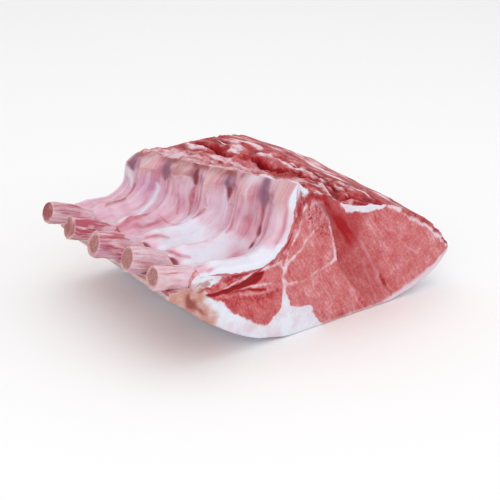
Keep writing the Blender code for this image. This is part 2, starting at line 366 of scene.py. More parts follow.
# %% [markdown]
# ## The cut face
# The near face shows the muscles in cross-section: the loin eye on the right, drawn back behind
# a step, the block and the dark marbled muscle left of it, and the small flap muscle over the
# thick fat of the belly. White seams of connective tissue part them. They are drawn here as
# tapered strokes and closed outlines in mm, on the plane of the face. Every other place of the
# meat looks up the same drawing at its own anatomical spot, so the seams run on inside.

# %% Seams, fat and colours of the face
SEAMS = (
    ((33, 60, 0.2), (27.5, 55.1, 0.5), (25.1, 53.6, 1), (21, 49.2, 1.2), (15.3, 45.1, 1.3),
     (11.2, 42, 1.6), (9.6, 39.7, 2.4), (8.8, 35.7, 2.2), (9.3, 30.8, 1.8), (9.4, 25.2, 2),
     (9.5, 19, 3.6)),
    ((22.2, 71.3, 0.2), (20.7, 64.9, 0.35), (18.3, 58.7, 0.4), (14.3, 52.8, 0.5), (11.5, 47, 0.7),
     (9.8, 42, 1.4)), ((9, 39.5, 1.5), (6.5, 42.5, 1), (2.8, 46.3, 0.6), (-0.8, 50.5, 1), (-2, 53, 2)),
    ((9, 40, 1.4), (5.7, 43, 1.1), (0.7, 43.8, 1), (-4.4, 43.2, 1), (-8.6, 42.6, 1.3), (-15.7, 41.8, 1.3),
     (-20.6, 41.7, 1.1), (-25, 40.4, 0.8), (-30, 39.3, 0.5)),
    ((5.9, 32.2, 0.1), (-1.4, 34.2, 0.4), (-8.6, 35.5, 1), (-15.7, 36.2, 1), (-22, 34.9, 0.6)),
    ((9.3, 31, 0.6), (12, 30.9, 0.3), (17, 30, 0.1)),
    ((29, 31.5, 0.1), (32.3, 33.1, 0.4), (36, 34.2, 0.2)),
    ((38.5, 34.6, 0.3), (41.5, 35.6, 0.9), (44.5, 37.2, 2.2), (48, 38, 0.7), (52, 38, 0.1)),
    ((39.8, 57.6, 0.3), (42.4, 50, 0.7), (43.8, 43.3, 0.8), (44.8, 37, 1.4)),
    ((72, 60.7, 1), (80, 60, 1.2), (86, 58.4, 3.2), (91.8, 53.6, 0.9), (100.5, 47.8, 1.1),
     (108.4, 42.3, 1.4), (116.4, 36.3, 1.5), (123.6, 30, 1.4), (130, 24, 1.2)),
)
FAINT_SEAMS = (
    ((24.6, 76.1, 0.5), (22.2, 71.3, 1), (20.7, 64.9, 1), (18.3, 58.7, 0.9), (14.3, 52.8, 0.9)),
    ((31.3, 71.5, 0.6), (35.5, 65.7, 1.1), (39.6, 58.3, 1.2), (42.4, 50, 1.2), (43.8, 43.3, 1.2)),
    ((9.3, 31, 0.6), (12, 30.9, 0.4), (19.7, 29.4, 0.2), (26.4, 31.1, 0.2), (32.3, 33.1, 0.4),
     (40.8, 35.3, 0.8)), ((2.2, 30.5, 0.4), (-2.9, 30.3, 0.8), (-12.2, 31.5, 0.9), (-20.7, 33.3, 0.6)),
    ((56.7, 52.2, 0.5), (60.8, 46.5, 0.8), (66.5, 36.8, 0.7), (75, 23.2, 0.9), (79.5, 14.1, 1),
     (84.1, 8.2, 0.8), (88.2, 3.4, 0.6)),
    ((56, 40.5, 0.3), (60, 37.5, 0.7), (65, 31, 0.8), (70.4, 22.6, 0.8), (73.8, 13.2, 0.8), (76, 4, 0.6)),
    ((78, 50, 0.3), (84, 45, 0.6), (90, 42, 0.3)), ((60, 58, 0.3), (66, 54, 0.5), (71, 49, 0.3)),
    ((33, 60, 0.4), (35, 64, 0.8), (35.5, 70, 0.4)), ((27, 73, 0.3), (29.5, 66, 0.8), (32, 58, 0.4)),
    ((96, 33, 0.3), (101, 28, 0.7), (107, 25.5, 0.3)),
)
WALL_BAND = (
    (28, 80), (24, 78.2), (18, 77.2), (15.6, 74.8), (16.3, 70.6), (14.4, 65.1), (12, 60.9), (8, 57.2),
    (1.3, 54), (-8.7, 49.6), (-22.7, 47.8), (-34, 46), (-40, 43.4), (-52, 41), (-52, 60), (-8, 60),
    (0, 70), (5, 90), (20, 88),
)
BELLY_FAT = (
    (-75, 60), (-49.8, 46.7), (-45.2, 43.3), (-40.6, 39), (-36.6, 35), (-31.4, 31.2), (-27.8, 27.6),
    (-23.4, 23.5), (-18.6, 19.7), (-13.6, 16.4), (-8.6, 12.8), (-2, 11.3), (1.3, 14), (5, 15.6),
    (7, 20.4), (8.5, 25.5), (9.3, 31), (10.6, 25.2), (13.2, 18.4), (19.9, 16), (26.5, 14.9), (29.4, 12.2),
    (30.4, 7), (33.5, 3.4), (38, 1), (38, -9), (-75, -9),
)
WEDGE = (
    (50, 72), (54, 71), (58, 70), (63, 68), (70, 66), (76, 63), (81, 60.6), (81, 58.8), (74, 58.9),
    (68.5, 58), (63, 56.6), (58.5, 56.8), (55.5, 59.5), (52.5, 63), (50, 66.5),
)
DARK_MUSCLE = (
    (24.5, 78), (32, 74.5), (37, 66), (41.5, 58), (44, 50), (36, 53), (28, 56), (24, 60), (22.3, 68),
)
FLAP_MUSCLE = (
    (-37, 36), (-29.7, 33.6), (-22.8, 33.6), (-8.6, 30.4), (2.2, 30.4), (8.1, 28.5), (8.7, 25.8),
    (7, 20.4), (5, 15.8), (1.3, 14), (-2, 11.5), (-8.6, 13), (-18.6, 19.9), (-27.5, 27.8), (-31, 32),
)
CAP_MUSCLE = (
    (20, 84), (30, 77), (40, 71.5), (47, 71), (54, 70.6), (60, 66.2), (67.5, 63.4), (84, 58.4),
    (100, 48.5), (116, 37), (130, 25), (145, 26), (120, 65), (60, 99), (20, 99),
)
RED_STRIPS = (
    (-50, 46), (-36, 47), (-8, 50), (1, 54), (8, 57), (12, 61), (14.4, 65), (16.3, 71), (18, 78),
    (24, 77), (21.5, 65), (15, 53), (10, 43), (0, 44), (-20, 41.8), (-40, 39.5),
)
FACE_CREVICE = (
    ((-41, 38.4, 0.6), (-33.8, 37.4, 1.4), (-28.3, 37.6, 2), (-20.6, 38.2, 2.6), (-14.3, 38.6, 4.2),
     (-8.6, 39.8, 3.8), (-4.5, 41.6, 1)), ((-15, 34.6, 0.1), (-9.5, 33.4, 0.4), (-4, 31.8, 0.1)),
)
# Painted shadow of the step: dark red strokes to the right of its line, where the loin eye is set back.
STEP_SHADE = (
    ((36, 73, 4), (43, 67, 9), (47, 60.5, 13), (50, 54, 13.5), (51.5, 48, 11), (53, 41, 7)),
    ((54, 42, 4), (59, 35.5, 6), (63.5, 28, 6), (69, 18.5, 4), (74, 9.5, 2)),
    ((47, 36, 2), (51, 30.5, 4), (57, 23, 4.5), (63.5, 14.5, 3), (70.5, 6, 1.5)),
)
TAN_EDGE = ((18.9, -35), (24.2, -35.5), (32.2, -38.5), (40.5, -43), (45.3, -47), (47.7, -51))
BROWN_SPOT = (
    ((-53.4, 39.6, 2.6), (-51.2, 36.8, 4.4), (-49, 33.4, 2.6)), ((-46, 32, 0.3), (-42, 27, 0.5)),
)
RED_SPOTS = (
    ((-14, 40.4, 0.6), (-9.5, 41.8, 2.2), (-6.5, 43.4, 1)),
    ((-27, 35.6, 0.4), (-21, 35.2, 1.6), (-14, 34.4, 0.6)), ((0.5, 49.5, 2.4), (2.6, 51, 3)),
    ((-12, 45, 2), (-5, 46.2, 3)),
    ((19.6, 80, 0.6), (25.4, 78.2, 1.6), (30.9, 75.3, 2), (37, 71, 1.4), (42.4, 67, 2), (45, 64, 1)),
    ((18.3, 67, 1), (17.8, 71, 2.4), (18.4, 75, 2.6), (21, 78, 1.4)),
    ((21.6, 72, 0.8), (23.2, 75.5, 2), (26, 77, 1.2)), ((-30, 43.5, 1), (-22, 44.6, 2.2), (-15, 44, 1.2)),
    ((7.5, 50, 1), (10.5, 54, 2.2), (13.5, 58.5, 1.4)), ((80, 16, 0.2), (84, 9.5, 0.8), (88, 4, 0.5)),
    ((-48, 42, 0.3), (-43, 42.4, 0.8), (-38, 41.6, 0.4)),
)
STREAK_SPOTS = (
    ((13, 62, 1.2), (17.5, 69, 2.4), (19, 74, 1.4)),
    ((27.5, 74, 1), (33, 70, 2), (38, 61.5, 2.4), (42, 53, 1.4)),
    ((24, 70, 0.8), (26.5, 64, 2), (29, 59, 1.2)),
)


def cut_face(x, z):
    """What the drawing of the cut face says at (x, z), as a dict of named values. fat, seam and
    faint are margins in mm, tone runs from deep red 0 to pale 1, and the rest from 0 to 1."""
    place = np.stack([x, 0 * x, z], -1)
    bend = 0.5 * noise(place, 3.5, 31, 2)
    x, z = x + bend, z + 0.5 * noise(place, 3.5, 32, 2)
    rim = np.interp(x, (34, 45, 78, 90, 102, 120), (1.2, 0.9, 1.6, 3.0, 4.2, 4.8))
    low = np.interp(x, *zip(*LOWER_NEAR))
    ragged = noise(place, 4.5, 35, 3)
    band = patch(x, z, WALL_BAND) + 1.7 * ragged + 0.7
    wedge = patch(x, z, WEDGE) + 0.4 * ragged + 0.5
    dark = smooth(patch(x, z, DARK_MUSCLE) / 3 + 0.5)
    flap, cap, strips = (
        smooth(patch(x, z, outline) / 1.5 + 0.5) for outline in (FLAP_MUSCLE, CAP_MUSCLE, RED_STRIPS)
    )
    # Fibres of the loin eye run from the top left to the bottom right of the face.
    through, length = 0.845 * x + 0.534 * z, 0.534 * x - 0.845 * z
    eye = smooth((x - 44) / 8) * smooth((92 - x) / 30)
    sheaf = noise(flat(through, length), (4.0, 34.0, 9.0), 34, 3)
    crest = smooth((z - 60) / 14) * smooth((50 - x) / 6) * smooth((x - 14) / 6)
    light = crest * smooth((29 - x) / 6)
    streaky = np.maximum(strips, crest)
    spots = noise(place, (3.2, 9.0, 4.2), 36, 3)
    lines = noise(place, (2.2, 9.0, 5.5), 37, 3)
    flap_dark = flap * (0.12 + 0.2 * smooth((z - 23) / 8))
    inner = smooth((x - 24) / 8)
    tone = 0.66 - 0.1 * dark - 0.2 * dark * inner - flap_dark - 0.1 * crest - 0.4 * cap - 0.12 * strips
    tone = tone + sheaf * (0.05 + 0.14 * eye) - 0.03 * eye
    tone -= 0.3 * smooth(strokes(x, z, STREAK_SPOTS) / 1.5 + 0.5)
    # The shadow in the step: a core as dark as it gets, and a soft halo round each stroke.
    gap = [stroke(x, z, line) for line in STEP_SHADE]
    core = smooth((gap[0] + 4.0 + 3.0 * sheaf) / 9.5)
    halo = [power * smooth((g + 17.0) / 19.0) for power, g in zip((0.8, 0.42, 0.34), gap)]
    shade = np.maximum.reduce([0.88 * core, *halo]) * (0.88 + 0.55 * sheaf)
    beside = smooth((x - np.interp(z, *zip(*STEP_LINE)) + 0.6) / 1.2) * (1 - smooth(wedge / 1.2 + 0.9))
    # The crevice is dark red, partly its own colour and partly painted shade inside the open slit.
    crack = 1.7 * smooth(strokes(x, z, FACE_CREVICE) / 1.6 + 0.7)
    clots = 0.8 * np.maximum(crest, 0.8 * strips) * smooth(3.0 * spots - 0.5)
    marbled = 0.14 + 0.86 * np.maximum(dark * (1 - 0.4 * inner), 0.4 * cap)
    flecks = light * (3.4 * lines - 0.4) - 1.5 * (1 - light)
    tan_x = np.interp(z, *zip(*TAN_EDGE))
    return {
        "fat": np.maximum.reduce([band, patch(x, z, BELLY_FAT) + 0.4 * ragged, wedge]),
        "seam": np.maximum(strokes(x, z, SEAMS) + 0.5 * ragged, flecks),
        "faint": np.maximum(strokes(x, z, FAINT_SEAMS), streaky * (3.5 * ragged - 0.7) - 1.5 * (1 - streaky)),
        "skin": np.where(x > 30, smooth(0.55 + (rim - z + low) / 2.4), 0),
        "tone": tone,
        "marbled": marbled * (1 - 0.8 * flap),
        "deep": np.maximum(crack, beside * shade),
        "blood": np.maximum(smooth((strokes(x, z, RED_SPOTS) + 0.8 * ragged) / 1.6 + 0.6), clots),
        "tan": smooth((tan_x - x) / 9 + 0.5 + 0.35 * ragged) * smooth((56 - z) / 4),
        "brown": 0.9 * smooth((strokes(x, z, BROWN_SPOT) + 1.0 * ragged) / 3.0 + 0.6),
        "gristle": 0.0,
        "grain": np.stack([through, 0.16 * length, 0 * x], -1),
    }


SEAM_DEPTH, FACE_CREVICE_DEPTH = 0.5, 1.3  # mm


def face_recess(x, z):
    """How far the cut face sinks, in mm: seams and fat lie lower than the muscles beside them,
    and the crevices are open."""
    seam = SEAM_DEPTH * smooth((strokes(x, z, SEAMS) + 0.9) / 1.6)
    crack = FACE_CREVICE_DEPTH * smooth((strokes(x, z, FACE_CREVICE) + 0.9) / 2.0)
    grain = 0.28 * np.maximum(1 + noise(np.stack([x, 0 * x, z], -1), 4.5, 33, 3), 0)
    return seam + crack + grain


print("marks on the cut face:", ", ".join(cut_face(np.zeros(1), np.zeros(1))))

# %% [markdown]
# ## The back and the outside
# The back of the loin was trimmed lengthwise, so its red meat shows long white lines of fat and
# tissue. Between it and the hollow lies the strip of gristle where the backbone was sawn away,
# pale pink and lumpy, with dark red and painted shade in the crevices and the pits beside it, and
# painted light on the tops of the lumps. The underside keeps its fat.

# %% Marks of the back and of the underside
WHITE_STREAKS = (
    on_top((9.3, -70, 7), (9.7, -64, 9), (9.9, -57, 8), (9.9, -50, 3)),
    on_top((9.3, -22, 4), (9.35, -30, 9), (9.4, -40, 9), (9.3, -50, 6), (9.2, -60, 3)),
    on_top((14.2, 27, 1), (14.3, 18, 3.4), (14.3, 7, 1)),
    on_top((12.2, -15, 1), (12.1, -22, 3), (11.9, -30, 3), (12.2, -38, 1)),
    on_top((13.1, 53, 1), (13.45, 50, 2), (13.5, 42, 2.6), (13.45, 34, 2.4), (13.4, 26, 1)),
    on_top((12.6, 42, 2), (12.55, 36, 4.5), (12.4, 29, 3.5), (12.3, 25, 2)),
    on_top((12.75, 17, 1), (13, 11, 2), (13.3, 5, 1.6), (13.7, 1, 1)),
    on_top((13.05, 0, 1), (13, -5, 3.4), (13.15, -12, 3.6), (13.1, -18, 1.6)),
    on_top((12.75, -19, 1), (12.85, -26, 2.6), (13, -34, 1.2)),
    on_top((13.25, -26, 0.8), (13.3, -40, 1.6), (13.25, -50, 0.8)),
    on_top((14.1, 36, 0.8), (14.1, 28, 1.4), (14.1, 15, 1.2), (14, -10, 1.4), (13.8, -38, 1),
           (13.75, -50, 0.5)),
    on_top((14.6, 58, 0.8), (14.8, 30, 1.4), (14.7, 0, 1), (14.6, -30, 1.5), (14.5, -60, 0.8)),
    on_top((15.3, 62, 1), (15.4, 30, 1.8), (15.2, 0, 1.2), (15.3, -35, 2), (15.2, -66, 1)),
)
RIDGE_RED = (
    on_top((9.3, 60, 2), (9.5, 54, 3), (9.4, 48, 1)), on_top((10.8, 44, 2), (11, 36, 3), (10.9, 30, 1)),
    on_top((10, 12, 1), (10.2, 6, 3), (10.1, 0, 1)),
    on_top((11.3, -6, 2), (11.2, -14, 3.4), (11.4, -20, 1)),
    on_top((9.6, -28, 1), (9.9, -34, 3), (9.8, -41, 1)),
    on_top((10.9, -44, 2), (11.1, -52, 4), (10.8, -60, 2)),
)


def back(at, y):
    """The marks of the upper side beyond the hollow, from the same names as the cut face. The
    long lines are noise stretched 11 times along the rack and cut off at a threshold."""
    u = span(at)
    place = flat(u, y)
    wander = 1.6 * noise(place, (9.0, 18.0, 9.0), 41, 2)
    wandered = flat(u + wander, y)
    lines = noise(wandered, (2.4, 26.0, 9.0), 42, 2)
    strip = smooth((at - 8.6) / 0.4) * smooth((gristle_end(y) - at + 0.05 * wander) / 0.25)
    meaty = smooth(0.5 + 1.6 * noise(place, (9.0, 14.0, 9.0), 88, 3)) * smooth((at - 9.6) / 1.2)
    gristle = smooth((y + 42) / 18 + 0.5 * noise(place, 7.0, 49, 2)) * (1 - 0.85 * meaty)
    gristle = strip * np.maximum(gristle, smooth((10.0 - at) / 0.5))
    flap = smooth((3.0 - at) / 0.6)
    zone = np.maximum(torn_zone(at, y), strip) * (1 - gristle)
    outer = smooth((at - 13.3) / 0.5)
    top = torn(at, y)
    ragged = noise(place, (5.0, 8.0, 9.0), 43, 4)
    torn_lines = noise(wandered, (1.7, 12.0, 9.0), 40, 2)
    white = strokes(u + wander, y, WHITE_STREAKS) + 1.3 * ragged + 1.3 * torn_lines - 0.8
    lumps = 3.2 * (0.7 * top + 0.9 * ragged - 0.7) * zone - 2.0 * (1 - zone)
    lumps = np.where(at < 3, 1.8 * ragged + 0.1, lumps)
    gaps = hump(noise(place, (6.0, 10.0, 9.0), 19, 2) / 0.11) * zone
    crack = crack_margin(at, y)
    red = strokes(u + wander, y, RIDGE_RED)
    clots = smooth(2.4 * noise(place, (4.0, 6.0, 9.0), 45, 2) - 0.6)
    seam = np.where((crack < 0.2) & ((at > 8.9) | (at < 3)), np.maximum(white, lumps), NO_MARK)
    long_lines = np.where(at > 12, 4.5 * (lines - 0.7 + 0.12 * smooth((at - 14.8) / 0.6)), NO_MARK)
    faint = np.maximum(4.0 * (lines - 0.42) * outer - 1.5 * (1 - outer), lumps + 1.2)
    # Tone follows the height of the torn lumps: painted light on their tops and painted shade in the dips.
    tone = 0.24 + 0.04 * outer + 0.28 * noise(place, (4.5, 11.0, 9.0), 44, 3) + 0.36 * top * zone
    ridge_blood = 0.8 * smooth(red / 3.0 + 0.6) * smooth(0.6 + 1.5 * noise(place, 3.0, 48, 2))
    # Painted shade: dark red laid in the pits between the torn lumps, where the relief dips.
    pit_shade = 0.9 * gaps * smooth(0.8 + noise(place, 9.0, 47))
    ridge_tan = 0.55 * hump((at - RIDGE - 0.1) / 0.28) * smooth(0.7 + noise(place, 6.0, 50, 2))
    return {
        "fat": np.where((y < -48) & (at > 8.9) & (at < 10.5), white, NO_MARK),
        "seam": np.maximum(seam, long_lines),
        "skin": 0.0,
        "faint": np.where(at > 8.5, faint, NO_MARK),
        "tone": tone + 0.4 * flap,
        "marbled": 0.15,
        # deep: dark red in the crevices beside the gristle, partly painted shade, and the painted shade of
        # the pits.
        "deep": np.maximum(1.9 * smooth((crack + 1.1) / 2.2), pit_shade),
        "blood": np.maximum(ridge_blood, clots * (0.7 * strip + 0.6 * zone + 0.35 * outer)),
        "tan": 0.3 * flap * smooth(0.4 + 1.5 * ragged) + ridge_tan * smooth((y + 34) / 16),
        "brown": 0.25 * flap * smooth(2 * noise(place, 7.0, 46, 2) - 0.2),
        "gristle": gristle,
        "grain": np.stack([u, 0.1 * y, 0 * y], -1),
    }


def outside(at, y):
    """The marks of the lower side: a skin of fat, tan and thin under the bones, with the red
    meat showing through in places towards the back."""
    place = along_rack(between(LOWER_NEAR, LOWER_FAR, at, y), y)
    bare = noise(place, (13.0, 24.0, 13.0), 51, 3)
    return {
        "fat": 3.0 - 5.5 * smooth(2.6 * bare - 0.9),
        "seam": NO_MARK,
        "faint": NO_MARK,
        "skin": 0.0,
        "tone": 0.6 + 0.15 * bare,
        "marbled": 0.4,
        "deep": 0.0,
        "blood": 0.35 * smooth(2 * noise(place, (9.0, 30.0, 9.0), 52, 2) - 0.6),
        "tan": smooth((4.2 - at) / 1.6) * (0.75 + 0.25 * bare),
        "brown": 0.4 * smooth(0.5 + 1.2 * noise(place, 14.0, 53, 3)) * smooth((4 - at) / 1.5),
        "gristle": 0.0,
        "grain": place,
    }


# %% [markdown]
# ## From functions to meshes
# Each big piece is a closed block on a grid with three directions: across the rack, through its
# thickness and along it. Only the points on the outside of that grid are made, and the quads
# are wound so that every face looks outwards.


# %% Block meshes
SHARP_ANGLE = math.radians(62)  # only the hidden edges, where two blocks meet, are this sharp


def shell(counts):
    """Grid places of the points on the outside of a box of counts points, and its quads.
    The directions are across (right), deep (down) and along (away), which are right-handed."""
    index = np.full(counts, -1)
    outer = np.ones(counts, bool)
    outer[1:-1, 1:-1, 1:-1] = False
    index[outer] = np.arange(outer.sum())
    quads = []
    for axis, end in itertools.product(range(3), (0, -1)):
        side = np.take(index, end, axis)
        quad = np.stack([side[:-1, :-1], side[1:, :-1], side[1:, 1:], side[:-1, 1:]], -1).reshape(-1, 4)
        quads.append(quad[:, ::-1] if (end == 0) != (axis == 1) else quad)
    return np.argwhere(outer), np.concatenate(quads)


def into_scene(name, data):
    """A new object of the scene, at the origin."""
    made = bpy.data.objects.new(name, data)
    bpy.context.scene.collection.objects.link(made)
    return made


def make_piece(name, points, quads, marks, material, body_slot, *nodes):
    """A smooth-shaded object from points in mm and faces, with its marks as attributes. It
    rides on the rack's only body and stands for the named solids."""
    mesh = bpy.data.meshes.new(name)
    mesh.vertices.add(len(points))
    mesh.vertices.foreach_set("co", (points * MM).astype(np.float32).ravel())
    mesh.loops.add(quads.size)
    mesh.loops.foreach_set("vertex_index", quads.astype(np.int32).ravel())
    mesh.polygons.add(len(quads))
    mesh.polygons.foreach_set("loop_start", np.arange(0, quads.size, quads.shape[1], dtype=np.int32))
    for mark, values in marks.items():
        kind, key = ("FLOAT_VECTOR", "vector") if values.ndim == 2 else ("FLOAT", "value")
        mesh.attributes.new(mark, kind, "POINT").data.foreach_set(key, values.astype(np.float32).ravel())
    mesh.update(calc_edges=True)
    mesh.validate()
    mesh.shade_smooth()
    mesh.set_sharp_from_angle(angle=SHARP_ANGLE)
    mesh.materials.append(material)
    made = into_scene(name, mesh)
    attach(made, "root")
    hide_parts(*nodes)
    print(f"{name}: {len(points)} points, {len(quads)} quads")
    return made


def even_across(first, last, count):
    """Outline points from first to last, spaced evenly in mm along the outline."""
    return np.interp(np.linspace(span(first), span(last), count), reach, fine)


def lengths(count):
    """Places along the rack, with extra rows on the rounded edges beside the cut faces."""
    edge = CUT_ROUNDING * (1 - np.cos(np.linspace(0, math.pi / 2, 5)))
    middle = np.linspace(NEAR_Y + CUT_ROUNDING, FAR_Y - CUT_ROUNDING, count)[1:-1]
    return np.concatenate([NEAR_Y + edge, middle, FAR_Y - edge[::-1]])


# %% [markdown]
# ## Materials
# Raw pork is wet and slightly see-through: light goes in, spreads a millimetre or two in red,
# and comes out again, and the film of juice on it is glossy. All three finishes therefore have
# some subsurface scattering and a clear coat. What changes from place to place is laid over
# the base colour as a stack of colours, each with its own mask from the marks.


# %% Node helper, colours and the shader
def add(tree, kind, inputs=None, out=0, **settings):
    """Adds a shader node, sets its settings, links or sets its inputs, and gives one output."""
    made = tree.nodes.new("ShaderNode" + kind)
    for name, value in settings.items():
        setattr(made, name, value)
    for key, value in (inputs or {}).items():
        if isinstance(value, bpy.types.NodeSocket):
            tree.links.new(value, made.inputs[key])
        else:
            made.inputs[key].default_value = value
    return made.outputs[out]


def colour(code):
    """An sRGB hex colour as linear red, green, blue and alpha."""
    parts = [int(code[i : i + 2], 16) / 255 for i in (1, 3, 5)]
    return (*(p / 12.92 if p <= 0.04045 else ((p + 0.055) / 1.055) ** 2.4 for p in parts), 1.0)


def per_mm(size):
    """Texture scale, in patterns per metre, for a pattern whose cells are size mm wide."""
    return 1 / (size * MM)


def layered(tree, under, *layers):
    """Lays colours over a base colour, first to last, each where its mask is 1."""
    for mask, over in layers:
        low, high = (colour(code) if isinstance(code, str) else code for code in (under, over))
        under = add(tree, "Mix", {"Factor": mask, "A": low, "B": high}, out=2, data_type="RGBA")
    return under


def new_material(name, *marks):
    """A material with an empty tree but for its output and shader, and the piece's marks by
    name. The mark grain is a vector, which runs slowly along the fibres."""
    made = bpy.data.materials.new(name)
    made.use_nodes = True
    tree = made.node_tree
    mark = {}
    for key in marks:
        mark[key] = add(tree, "Attribute", out="Vector" if key == "grain" else "Fac", attribute_name=key)
    return made, tree, mark


def to_shader(tree, base, roughness, height, strength, depth, constants):
    """Links the base colour, the roughness and the fine relief, depth mm high, to the shader,
    and sets on it what is the same all over."""
    shader = tree.nodes["Principled BSDF"]
    bump = add(tree, "Bump", {"Height": height, "Strength": strength, "Distance": depth * MM})
    for socket, value in (("Base Color", base), ("Roughness", roughness), ("Normal", bump)):
        tree.links.new(value, shader.inputs[socket])
    for socket, value in constants.items():
        shader.inputs[socket].default_value = value


# %% Raw pork, lean and fat
def raw_pork():
    """Lean muscle cut across its fibres: rosy, mottled, with flecks of fat, wet and glossy.
    Fat is firm, white and a little pink, and duller than the lean."""
    material, tree, mark = new_material(
        "raw_pork_lean_and_fat",
        "fat", "seam", "faint", "tone", "marbled", "deep",
        "blood", "tan", "brown", "gristle", "skin", "grain",
    )
    where = add(tree, "TexCoord", out="Object")
    fibres = {"Vector": mark["grain"], "Scale": 1 / 1.6, "Detail": 4.0, "Roughness": 0.6}
    threads = add(tree, "TexNoise", fibres)
    ragged, mottle, speck, patchy = (
        add(tree, "TexNoise", {"Vector": where, "Scale": per_mm(size), "Detail": detail, "Roughness": rough})
        for size, detail, rough in ((2.2, 4.0, 0.65), (9.0, 5.0, 0.6), (1.3, 2.0, 0.7), (4.5, 4.0, 0.65))
    )
    wander = {0: ragged.node.outputs["Color"], 1: (4 * MM,) * 3, 2: where}
    bent = add(tree, "VectorMath", wander, operation="MULTIPLY_ADD")
    bundle = add(tree, "TexVoronoi", {"Vector": bent, "Scale": per_mm(2.6)}, feature="DISTANCE_TO_EDGE")
    # Edges wander by up to half a millimetre either way.
    masks = {}
    for name, soft in (("fat", 0.6), ("seam", 0.85), ("faint", 1.0)):
        off = add(tree, "Math", {0: ragged, 1: 2.4, 2: mark[name]}, operation="MULTIPLY_ADD")
        ends = {"Value": off, "From Min": 1.2 - soft, "From Max": 1.2 + soft}
        masks[name] = add(tree, "MapRange", ends, interpolation_type="SMOOTHSTEP")
    # Tone of the lean, mottled over centimetres and speckled over millimetres.
    tone = mark["tone"]
    for texture, amount in ((mottle, 0.7), (patchy, 0.15), (speck, 0.55), (threads, 0.75)):
        tone = add(tree, "Math", {0: texture, 1: amount, 2: tone}, operation="MULTIPLY_ADD")
    tone = add(tree, "Math", {0: tone, 1: 1.075}, operation="SUBTRACT")
    lean = add(tree, "ValToRGB", {"Fac": tone})
    ramp = lean.node.color_ramp.elements
    stops = ((0.0, "#84141b"), (0.25, "#ad3036"), (0.5, "#c45d5f"), (0.75, "#ce7d80"), (1.0, "#e3adb0"))
    while len(ramp) < len(stops):
        ramp.new(0.5)
    for element, (place, code) in zip(ramp, stops):
        element.position, element.color = place, colour(code)
    # Flecks of fat, the net of it between the bundles of fibres, and how it all varies.
    flecks, net, unbroken, blushed, pale, roughness = (
        add(tree, "MapRange", {
            "Value": value, "From Min": low, "From Max": high, "To Min": least, "To Max": most
        })
        for value, low, high, least, most in (
            (speck, 0.52, 0.78, 0, 0.85),
            (bundle, 0.22, 0.03, 0, 0.75),
            (patchy, 0.3, 0.62, 0.7, 1),
            (mottle, 0.4, 0.66, 0, 1),
            (patchy, 0.36, 0.64, 0, 1),
            (mottle, 0, 1, 0.3, 0.55),
        )
    )
    well_marbled = add(tree, "Math", {0: mark["marbled"], 1: 3.0}, operation="POWER")
    flecks, net, faint, tanned = (
        add(tree, "Math", {0: mask, 1: share}, operation="MULTIPLY")
        for mask, share in (
            (flecks, mark["marbled"]), (net, well_marbled), (masks["faint"], 0.5), (unbroken, mark["tan"])
        )
    )
    core = add(tree, "Math", {0: mark["deep"], 1: 1.0}, operation="SUBTRACT", use_clamp=True)
    base = layered(
        tree, lean,
        (flecks, "#e6bfc6"),
        (net, "#ddb0b8"),
        (mark["gristle"], layered(tree, "#c57882", (pale, "#e4ccd5"))),
        (faint, "#e2b3ba"),
        (mark["skin"], "#e2cdd5"),
        (masks["seam"], "#e6cdd6"),
        (masks["fat"], layered(tree, "#e3e7f1", (blushed, "#dccbd6"))),
        (tanned, "#c58a7a"),
        (mark["brown"], "#8f3d36"),
        (mark["blood"], "#a3232c"),
        # deep is partly painted shade: the shadow beside the step of the near face, and shade in the crevices
        # and in the pits of the torn meat, over their own dark red. core is its darkest part.
        (mark["deep"], "#a6121a"),
        (core, "#800c15"),
    )
    height = add(tree, "Math", {0: bundle, 1: 0.3, 2: speck}, operation="MULTIPLY_ADD")
    height = add(tree, "Math", {0: threads, 1: 0.8, 2: height}, operation="MULTIPLY_ADD")
    to_shader(tree, base, roughness, height, 0.45, 0.5, {
        "IOR": 1.4, "Subsurface Weight": 0.18, "Subsurface Scale": 2.0 * MM,
        "Subsurface Radius": (1.0, 0.35, 0.3), "Specular IOR Level": 0.22,
        "Coat Weight": 0.06, "Coat Roughness": 0.18,
    })
    return material


pork = raw_pork()
print("material:", pork.name)

# %% [markdown]
# ## The meat and its fat
# The meat and the fat cap meet inside along one surface, so both blocks are cut from the same
# function of (across, share of the thickness, along) and meet without a gap.

# %% Meat and fat cap
ACROSS = even_across(0, BACK, 214)
ALONG = lengths(118)


BACK_ROUNDING = 3.2  # mm by which the back end is drawn in at its edges
RECESS_REACH = 4.0  # mm behind a cut face over which its recess fades


def rack_points(at, share, y):
    """Points of the rack in mm: a straight mix of the upper and lower side, by the share of the
    thickness, then set back by the step and the recess of the cut face nearby. The back end
    is rounded by a half circle."""
    section = mix(upper(at, y), lower(at, y), share)
    turn = 1 - np.sqrt(np.clip(1 - (2 * share - 1) ** 2, 0, 1))
    section[..., 0] -= BACK_ROUNDING * turn * smooth((at - 15.6) / 0.4)
    near = np.full_like(y, NEAR_Y)
    home = mix(upper(at, near, False), lower(at, near), share)
    recess = face_recess(home[..., 0], home[..., 1])
    near_by = smooth(1 - (y - NEAR_Y) / RECESS_REACH) - smooth(1 - (FAR_Y - y) / RECESS_REACH)
    return along_rack(section - (ORIGIN_X, 0), y + step_depth(section, y) + recess * near_by), home


